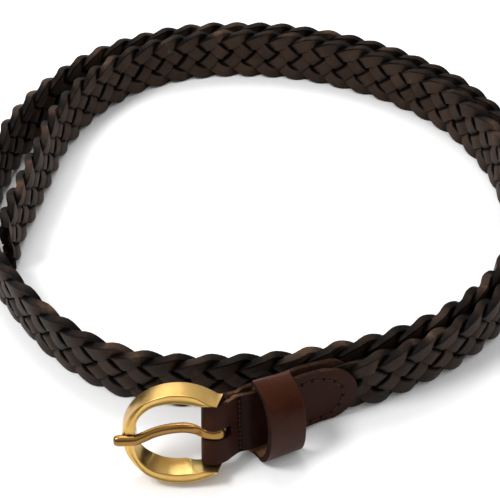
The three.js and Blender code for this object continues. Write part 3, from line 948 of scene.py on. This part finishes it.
ring = {
    "height": 28.8,
    "reach": 24.7,
    "middle": 9.1,
    "tipUp": 10.6,
    "back": -1.7,
    "front": 4.8,
    "barRadius": 1.2,
    "notchHalf": 1.7,
    "notchFloor": 3.3,
    # outer and inner turns: of a row in the notch, of its steep sides, and of the row past them
    "notchRow": (3.2, 4.2),
    "notchSide": (0.15, 0.2),
    "pastNotch": (9.5, 10),
    "tipSlope": 0.25,
    "tipReach": 1.2,
    "tipBevel": 0.18,
    "crown": -0.2,
    # inner edge of the upper half: distance from the bar and height
    "inner": [(20.9, 0), (20.6, 3.8), (19.3, 7), (16.4, 9.7), (12.9, 10.9), (8.6, 11.2), (5.2, 10.8),
              (2.6, 10.3), (-2.6, 10.1)],
    "firstTurn": 12,
    "lastTurn": 138,
    "turnStep": 2,
    # the outer side leans in towards the front: at most this, this share of the width, and at the end of
    # the upper arm this share more, between these turns
    "lean": (0.4, 0.2, 0.42),
    "leanTurns": (106, 138),
    # the inner side opens towards the back by the first and comes back in by the second near the arms' ends
    "opening": (2.2, 1.2),
    "openTurns": (15, 55),
    "closeTurns": (98, 120),
    "backLift": 1.4,
    # rounding of the corners in order: outer back, outer front, inner front, inner back; the outer front
    # one is crisp away from the far end
    "rounding": (0.5, 1.5, 0.3, 0.4),
    "crispFront": 0.22,
    "crispTurns": (20, 55),
    "cornerSteps": 4,
    "faceSteps": (0.06, 0.25, 0.5, 0.75, 0.94),
    # turns over which the painted shade on the upper arm's crease and the lower arm's rim, and the painted
    # highlight on its inner wall, begin
    "creaseTurns": (25, 50),
    "rimTurns": (15, 40),
    "wallTurns": (30, 60),
    "wallPaintedLight": 0.7,
}
ring["innerPolar"] = [
    (math.degrees(math.atan2(up, reach - ring["middle"])), math.hypot(up, reach - ring["middle"]))
    for reach, up in ring["inner"]
]
buckleStand = (Matrix.Translation(place(0, 0, 0))
               @ Matrix.Rotation(math.radians(90 - belt["lean"]), 4, "X") @ Matrix.Scale(mm, 4))


# outer and inner reach of the ring in the direction of a turn from its far end
def ringRadii(turn):
    angle = math.radians(abs(turn))
    across, up = ring["reach"] - ring["middle"], ring["height"] / 2
    outer = 1 / math.hypot(math.cos(angle) / across, math.sin(angle) / up)
    if abs(turn) > 90 and outer * math.sin(angle) < ring["tipUp"]:
        outer = ring["tipUp"] / math.sin(angle)
    return outer, between(ring["innerPolar"], abs(turn))


# turn at which the ring's outer or inner edge is a given height from its middle line
def turnAtHeight(height, which):
    turn = 0
    while ringRadii(turn)[which] * math.sin(math.radians(turn)) < height:
        turn += 0.02
    return turn


# the ring's section: which of the four corners and where on its rounding, and 4 for the front face
def ringSection():
    steps = []
    for corner in range(4):
        steps += [(corner, i / ring["cornerSteps"]) for i in range(ring["cornerSteps"] + 1)]
        if corner == 1:
            steps += [(4, share) for share in ring["faceSteps"]]
    return steps


# outer turn, inner turn and whether it is in the prong's notch, from the lower arm's end to the upper one's
def ringRows():
    outer, inner = (turnAtHeight(ring["notchHalf"], which) for which in (0, 1))
    (rowOuter, rowInner), (sideOuter, sideInner) = ring["notchRow"], ring["notchSide"]
    half = [(outer, inner, True), (outer + sideOuter, inner + sideInner, False), (*ring["pastNotch"], False)]
    half += [(t, t, False) for t in range(ring["firstTurn"], ring["lastTurn"] + 1, ring["turnStep"])]
    lower = [(-a, -b, low) for a, b, low in reversed(half)]
    return lower + [(-rowOuter, -rowInner, True), (0, 0, True), (rowOuter, rowInner, True)] + half


# painted shade along the crease of the upper arm and the inner rim of the lower one, and a painted
# highlight of paler brass on the lower arm's inner wall, standing in for its bright reflection
def ringMarks(corner, share, outerTurn):
    upper, lower = smooth(outerTurn, *ring["creaseTurns"]), smooth(-outerTurn, *ring["rimTurns"])
    darkBrass = 0
    if corner == 4:
        darkBrass = 0.8 * smooth(0.2 - share, 0, 0.2) * upper
    if corner == 1 and share > 0.7:
        darkBrass = 0.85 * upper
    if corner == 2 and share < 0.6:
        darkBrass = 0.6 * lower + 0.25 * upper
    onWall = corner == 3 or (corner, share) == (2, 1)
    paintedLight = ring["wallPaintedLight"] * smooth(-outerTurn, *ring["wallTurns"]) if onWall else 0
    return {"sunk": darkBrass, "bareAndPaintedHighlight": paintedLight}


def makeRing():
    bm = startMesh()
    section, rows = ringSection(), ringRows()
    deep = ring["front"] - ring["back"]

    def shape(row, column):
        outerTurn, innerTurn, low = rows[row]
        corner, share = section[column]
        outer, inner = ringRadii(outerTurn)[0], ringRadii(innerTurn)[1]
        wide = outer - inner
        turned = abs(outerTurn)
        most, part, more = ring["lean"]
        lean = min(most, wide * part)
        if outerTurn > 0:
            lean += wide * more * smooth(turned, *ring["leanTurns"])
        flare = smooth(turned, *ring["openTurns"])
        opening = ring["opening"][0] * flare - ring["opening"][1] * smooth(turned, *ring["closeTurns"])
        limit = (wide - lean) * 0.45
        rounding = list(ring["rounding"])
        rounding[1] = mix(rounding[1], ring["crispFront"], smooth(turned, *ring["crispTurns"]))
        rounding = [min(radius, limit) for radius in rounding]
        edge = 0
        if corner == 4:
            across = mix(wide - lean - rounding[1], rounding[2], share)
            z = deep + ring["crown"] * min(wide / 3, 1) * (1 - (2 * share - 1) ** 2)
        else:
            radius = rounding[corner]
            centres = [(wide - radius, radius), (wide - lean - radius, deep - radius),
                       (radius, deep - radius), (radius - opening, radius + ring["backLift"] * flare)]
            angle = math.radians([-90, 0, 90, 180][corner] + 90 * share)
            across = centres[corner][0] + radius * math.cos(angle)
            z = centres[corner][1] + radius * math.sin(angle)
            edge = (1 - abs(2 * share - 1)) * min(0.4 / radius, 1)
        z += ring["back"]
        if low and z > ring["notchFloor"]:
            z = ring["notchFloor"]
        turn = math.radians(mix(innerTurn, outerTurn, clamp(across / wide, 0, 1)))
        reach = inner + across
        point = Vector((-ring["middle"] - reach * math.cos(turn), reach * math.sin(turn), z))
        return point, {"edge": edge, **ringMarks(corner, share, outerTurn)}

    sweep(bm, len(rows) - 1, len(section), shape, wrapColumns=True, capped=True)
    # the arms end on an oblique cut
    cut = bmesh.ops.bisect_plane(
        bm, geom=bm.verts[:] + bm.edges[:] + bm.faces[:], dist=1e-5,
        plane_co=(ring["tipReach"], 0, ring["front"]), plane_no=(1, 0, ring["tipSlope"]), clear_outer=True)
    rims = [item for item in cut["geom_cut"] if isinstance(item, bmesh.types.BMEdge)]
    caps = bmesh.ops.holes_fill(bm, edges=rims, sides=0)["faces"]
    bmesh.ops.recalc_face_normals(bm, faces=bm.faces)
    bmesh.ops.bevel(bm, geom=list({edge for face in caps for edge in face.edges}), offset=ring["tipBevel"],
                    offset_type="OFFSET", segments=2, profile=0.5, affect="EDGES", clamp_overlap=True,
                    material=-1)
    bar = bmesh.ops.create_cone(bm, cap_ends=True, segments=28, radius1=ring["barRadius"],
                                radius2=ring["barRadius"], depth=2 * ring["tipUp"] + 0.2)["verts"]
    bmesh.ops.rotate(bm, verts=bar, cent=(0, 0, 0), matrix=Matrix.Rotation(math.pi / 2, 3, "X"))
    bmesh.ops.transform(bm, matrix=buckleStand, verts=bm.verts)
    finishMesh(bm, "buckleRing", "buckle", [satinBrass], 32, ["buckle_frame"])


makeRing()

prong = {
    "width": 2.9,
    "thickness": 2.3,
    "curl": 1.2,
    # middle line from the open end of the curl, round the bar, to the tip: reach and height to the front
    "line": [(-2.6, -1.5), (-3.1, 0), (-2.1, 1.75), (-0.1, 2.3), (1.9, 1.75), (3.6, 0.5), (5.4, -0.7),
             (8.4, -1.35), (12.4, -0.6), (16.0, 1.1), (18.6, 3.2), (20.8, 4.65), (23.2, 4.85), (26.5, 5.0)],
    # points of the line that the curl takes, and the share of the line over which it grows to full size
    "curlPoints": 5,
    "grows": 0.15,
    "around": 24,
    # shares of the line with a ring of points: rounded open end, shaft, rounded tip
    "curlSpots": [0.0, 0.0008, 0.003, 0.006],
    "shaft": (0.01, 0.955),
    "shaftSteps": 120,
    "tipSpots": [0.964, 0.974, 0.983, 0.99, 0.995, 0.9985, 1.0],
    "curlRound": 0.008,
    "curlBlunt": 0.7,
    "tipBlunt": 0.35,
    # the shaft swells a little before the tip
    "swell": 0.1,
    "swells": (0.86, 0.95),
    # how square the section is in the curl and in the shaft: 1 is round
    "square": (0.7, 0.85),
}


def onOpenCurve(points, t):
    at = clamp(t, 0, 1) * (len(points) - 1)
    i = min(int(at), len(points) - 2)
    u = at - i
    a, b, c, d = (points[clamp(i + k, 0, len(points) - 1)] for k in (-1, 0, 1, 2))
    enter, leave = (c - a) * 0.5, (d - b) * 0.5
    square = c * 3 - b * 3 - enter * 2 - leave
    cube = b * 2 - c * 2 + enter + leave
    onward = (enter + square * 2 * u + cube * 3 * u * u).normalized()
    return b + enter * u + square * u * u + cube * u ** 3, onward


# a quarter circle from 0 at the very end to 1 where the rounding begins
def quarterRound(t):
    return math.sqrt(clamp(1 - (1 - clamp(t, 0, 1)) ** 2, 0, 1))


def makeProng():
    bm = startMesh()
    points = [Vector((-reach, front)) for reach, front in prong["line"]]
    curlShare = prong["curlPoints"] / (len(points) - 1)
    steps, around = prong["shaftSteps"], prong["around"]
    shaft = [mix(*prong["shaft"], i / steps) for i in range(steps + 1)]
    spots = prong["curlSpots"] + shaft + prong["tipSpots"]

    def shape(row, column):
        t = spots[row]
        middle, onward = onOpenCurve(points, t)
        grown = smooth(t, curlShare, curlShare + prong["grows"])
        high = mix(prong["curl"], prong["thickness"], grown) / 2
        wide = prong["width"] / 2
        tip = quarterRound((1 - t) / (1 - prong["shaft"][1]))
        close = tip * (1 - prong["tipBlunt"]) + prong["tipBlunt"]
        close *= 1 + prong["swell"] * smooth(t, *prong["swells"])
        close *= prong["curlBlunt"] + (1 - prong["curlBlunt"]) * quarterRound(t / prong["curlRound"])
        angle = 2 * math.pi * (column + 0.5) / around
        power = mix(*prong["square"], grown)
        c, s = math.cos(angle), math.sin(angle)
        across = math.copysign(abs(c) ** power, c) * wide * close
        out = math.copysign(abs(s) ** power, s) * high * close
        return Vector((middle.x - onward.y * out, across, middle.y + onward.x * out)), {}

    sweep(bm, len(spots) - 1, around, shape, wrapColumns=True, capped=True)
    bmesh.ops.recalc_face_normals(bm, faces=bm.faces)
    bmesh.ops.transform(bm, matrix=buckleStand, verts=bm.verts)
    finishMesh(bm, "buckleProng", "prong", [prongBrass], 75, ["prong"])


makeProng()


# loose fibres on the plait's upper edge

fibres = {
    # distance from the bar, place through the thickness, length
    "roots": [(609.4, -1.9, 1.7), (611.0, -1.4, 1.1), (612.6, -1.8, 1.9), (637.6, -1.0, 2.0),
              (639.0, -1.3, 1.3)],
    "radius": 0.07,
    "taper": 0.7,
    "rootHeight": 8.2,
    "rootLength": 1,
    "droop": 0.35,
    "lean": 0.9,
    "sway": 0.6,
    "steps": 5,
    "seed": 11,
}


def makeFibres():
    bm = startMesh()
    rng = random.Random(fibres["seed"])
    steps = fibres["steps"]
    for along, out, length in fibres["roots"]:
        lean = rng.uniform(-fibres["lean"], fibres["lean"])
        sway = rng.uniform(-fibres["sway"], fibres["sway"])

        def shape(row, column):
            t = row / steps
            angle = 2 * math.pi * column / steps
            radius = fibres["radius"] * (1 - fibres["taper"] * t)
            up = fibres["rootHeight"] + (length + fibres["rootLength"]) * t * (1 - fibres["droop"] * t)
            return place(along + lean * length * t * t + math.cos(angle) * radius,
                         out + sway * length * t * t + math.sin(angle) * radius, up), {}

        sweep(bm, steps, steps, shape, wrapColumns=True, capped=True)
    bmesh.ops.recalc_face_normals(bm, faces=bm.faces)
    finishMesh(bm, "strayFibres", "strap", [stitchThread], 60)


makeFibres()


# camera, floor and light

camera = {
    "elevation": 44.5,
    "distance": 368,
    "lens": 79.2,
    "sensor": 36,
}
studio = {
    "floorSize": 3,
    "floorColour": (0.93, 0.93, 0.93, 1),
    # name, place in metres, width in metres, watts; each points at the belt's middle
    "lights": [("softLeft", (-0.44, -0.15, 0.7), 0.26, 3.7),
               ("softAbove", (-0.08, 0.32, 0.7), 0.3, 1.9),
               ("softBack", (-0.35, 1.1, 0.4), 0.8, 2.5)],
    # the world is brightest overhead and behind, and dim low down and in front
    "skyBehind": 0.45,
    "skyHeights": (-0.1, 0.8),
    "skyStrengths": (0.22, 0.95),
}


def makeCamera():
    data = bpy.data.cameras.new("camera")
    data.lens = camera["lens"]
    data.sensor_width = camera["sensor"]
    data.clip_start = 0.01
    eye = bpy.data.objects.new("camera", data)
    bpy.context.scene.collection.objects.link(eye)
    pitch = math.radians(camera["elevation"])
    eye.location = (routeShift + Vector((0, -math.cos(pitch), math.sin(pitch))) * camera["distance"]) * mm
    eye.rotation_euler = (math.pi / 2 - pitch, 0, 0)
    bpy.context.scene.camera = eye


def makeFloor():
    bm = bmesh.new()
    bmesh.ops.create_grid(bm, x_segments=1, y_segments=1, size=studio["floorSize"])
    mesh = bpy.data.meshes.new("floor")
    bm.to_mesh(mesh)
    bm.free()
    floor = bpy.data.objects.new("floor", mesh)
    bpy.context.scene.collection.objects.link(floor)
    paper = bpy.data.materials.new("paleFloor")
    paper.use_nodes = True
    shader = paper.node_tree.nodes["Principled BSDF"]
    shader.inputs["Base Color"].default_value = studio["floorColour"]
    shader.inputs["Roughness"].default_value = 0.8
    shader.inputs["Specular IOR Level"].default_value = 0.1
    mesh.materials.append(paper)


def makeLights():
    for name, spot, width, power in studio["lights"]:
        data = bpy.data.lights.new(name, "AREA")
        data.shape = "DISK"
        data.size = width
        data.energy = power
        lamp = bpy.data.objects.new(name, data)
        bpy.context.scene.collection.objects.link(lamp)
        lamp.location = spot
        lamp.rotation_euler = (-Vector(spot)).to_track_quat("-Z", "Y").to_euler()


def makeWorld():
    world = bpy.data.worlds.new("studio")
    world.use_nodes = True
    tree = world.node_tree
    direction = tree.nodes.new("ShaderNodeTexCoord").outputs["Generated"]
    sky = addNode(tree, "ShaderNodeSeparateXYZ", None, {0: direction}).outputs
    height = maths(tree, "ADD", sky[2], maths(tree, "MULTIPLY", sky[1], studio["skyBehind"]))
    glow = tree.nodes["Background"].inputs
    glow["Color"].default_value = (1, 1, 1, 1)
    tree.links.new(spread(tree, height, *studio["skyHeights"], *studio["skyStrengths"]), glow["Strength"])
    bpy.context.scene.world = world


makeCamera()
makeFloor()
makeLights()
makeWorld()
bpy.context.scene.view_settings.view_transform = "Standard"
print("camera, floor and lights set")
